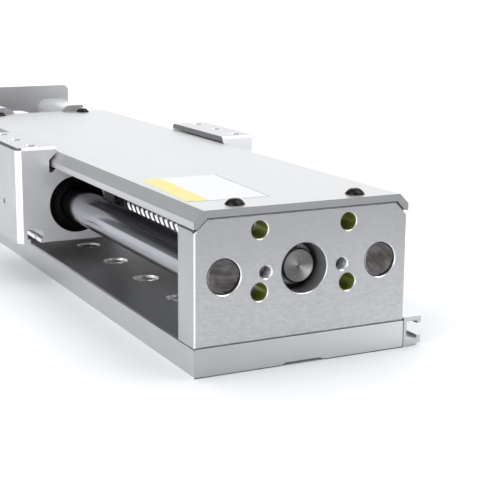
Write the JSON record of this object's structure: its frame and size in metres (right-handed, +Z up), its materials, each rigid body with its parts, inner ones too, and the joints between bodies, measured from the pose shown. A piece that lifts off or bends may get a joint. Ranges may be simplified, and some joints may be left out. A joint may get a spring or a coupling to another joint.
{
  "type": "ball screw slide stage",
  "caption": "Ball screw linear slide stage: a covered base with twin round guide shafts, a carriage with a pad at each side, and an open motor bracket.",
  "frame": {"origin": "middle of the base plate's underside, at the centre of the base bolt patterns", "axes": "+Y along the travel towards the motor bracket, +Z up out of the carriage pads, +X across to the sensor rail's side"},
  "size_m": [0.1104, 0.3343, 0.0652],
  "materials": {
    "base_aluminium": "fine matt clear anodising",
    "block_aluminium": "fine bead-blasted clear anodising",
    "cover_aluminium": "smooth matt clear anodising",
    "rail_aluminium": "extruded, clear anodised",
    "carriage_aluminium": "extruded and milled, clear anodised",
    "bracket_aluminium": "matt clear anodising",
    "hub_aluminium": "turned",
    "hardened_chrome": "ground and hard-chromed",
    "screw_steel": "rolled and polished",
    "nut_steel": "ground steel",
    "bearing_steel": "ground steel",
    "black_screws": "black oxide",
    "seal_rubber": "smooth black nitrile",
    "spider_elastomer": "red polyurethane"
  },
  "bodies": {
    "stage_base": {"base_plate": "base_aluminium", "near_end_block": "block_aluminium", "far_end_block": "block_aluminium", "end_block_screws": "black_screws", "top_cover": "cover_aluminium", "cover_screws": "black_screws", "sensor_rail": "rail_aluminium", "sensor_rail_screws": "black_screws", "left_guide_shaft": "hardened_chrome", "right_guide_shaft": "hardened_chrome", "shaft_set_screws": "black_screws", "near_bearing_outer_ring": "bearing_steel", "far_bearing_outer_rings": "bearing_steel", "motor_bracket": "bracket_aluminium", "bracket_screws": "black_screws"},
    "carriage": {"carriage_body": "carriage_aluminium", "left_front_bushing": "bearing_steel", "left_rear_bushing": "bearing_steel", "right_front_bushing": "bearing_steel", "right_rear_bushing": "bearing_steel", "left_front_seal": "seal_rubber", "left_rear_seal": "seal_rubber", "right_front_seal": "seal_rubber", "right_rear_seal": "seal_rubber", "ball_nut": "nut_steel", "ball_nut_screws": "black_screws"},
    "spindle": {"ball_screw": "screw_steel", "near_bearing_inner_ring": "bearing_steel", "far_bearing_inner_rings": "bearing_steel", "bearing_locknut": "nut_steel", "screw_side_hub": "hub_aluminium", "coupling_spider": "spider_elastomer", "motor_side_hub": "hub_aluminium", "coupling_screws": "black_screws"}
  },
  "joints": [
    {"name": "carriage_slide", "type": "slide", "parent": "stage_base", "child": "carriage", "axis": [0, 1, 0], "range_m": [-0.125, 0.076]},
    {"name": "screw_spin", "type": "hinge", "parent": "stage_base", "child": "spindle", "pos_m": [0, 0, 0.0327], "axis": [0, 1, 0], "range_deg": [-5473, 9001]}
  ],
  "couplings": [
    {"joint": "screw_spin", "follows": "carriage_slide", "rad_per_m": -1256.6}
  ]
}
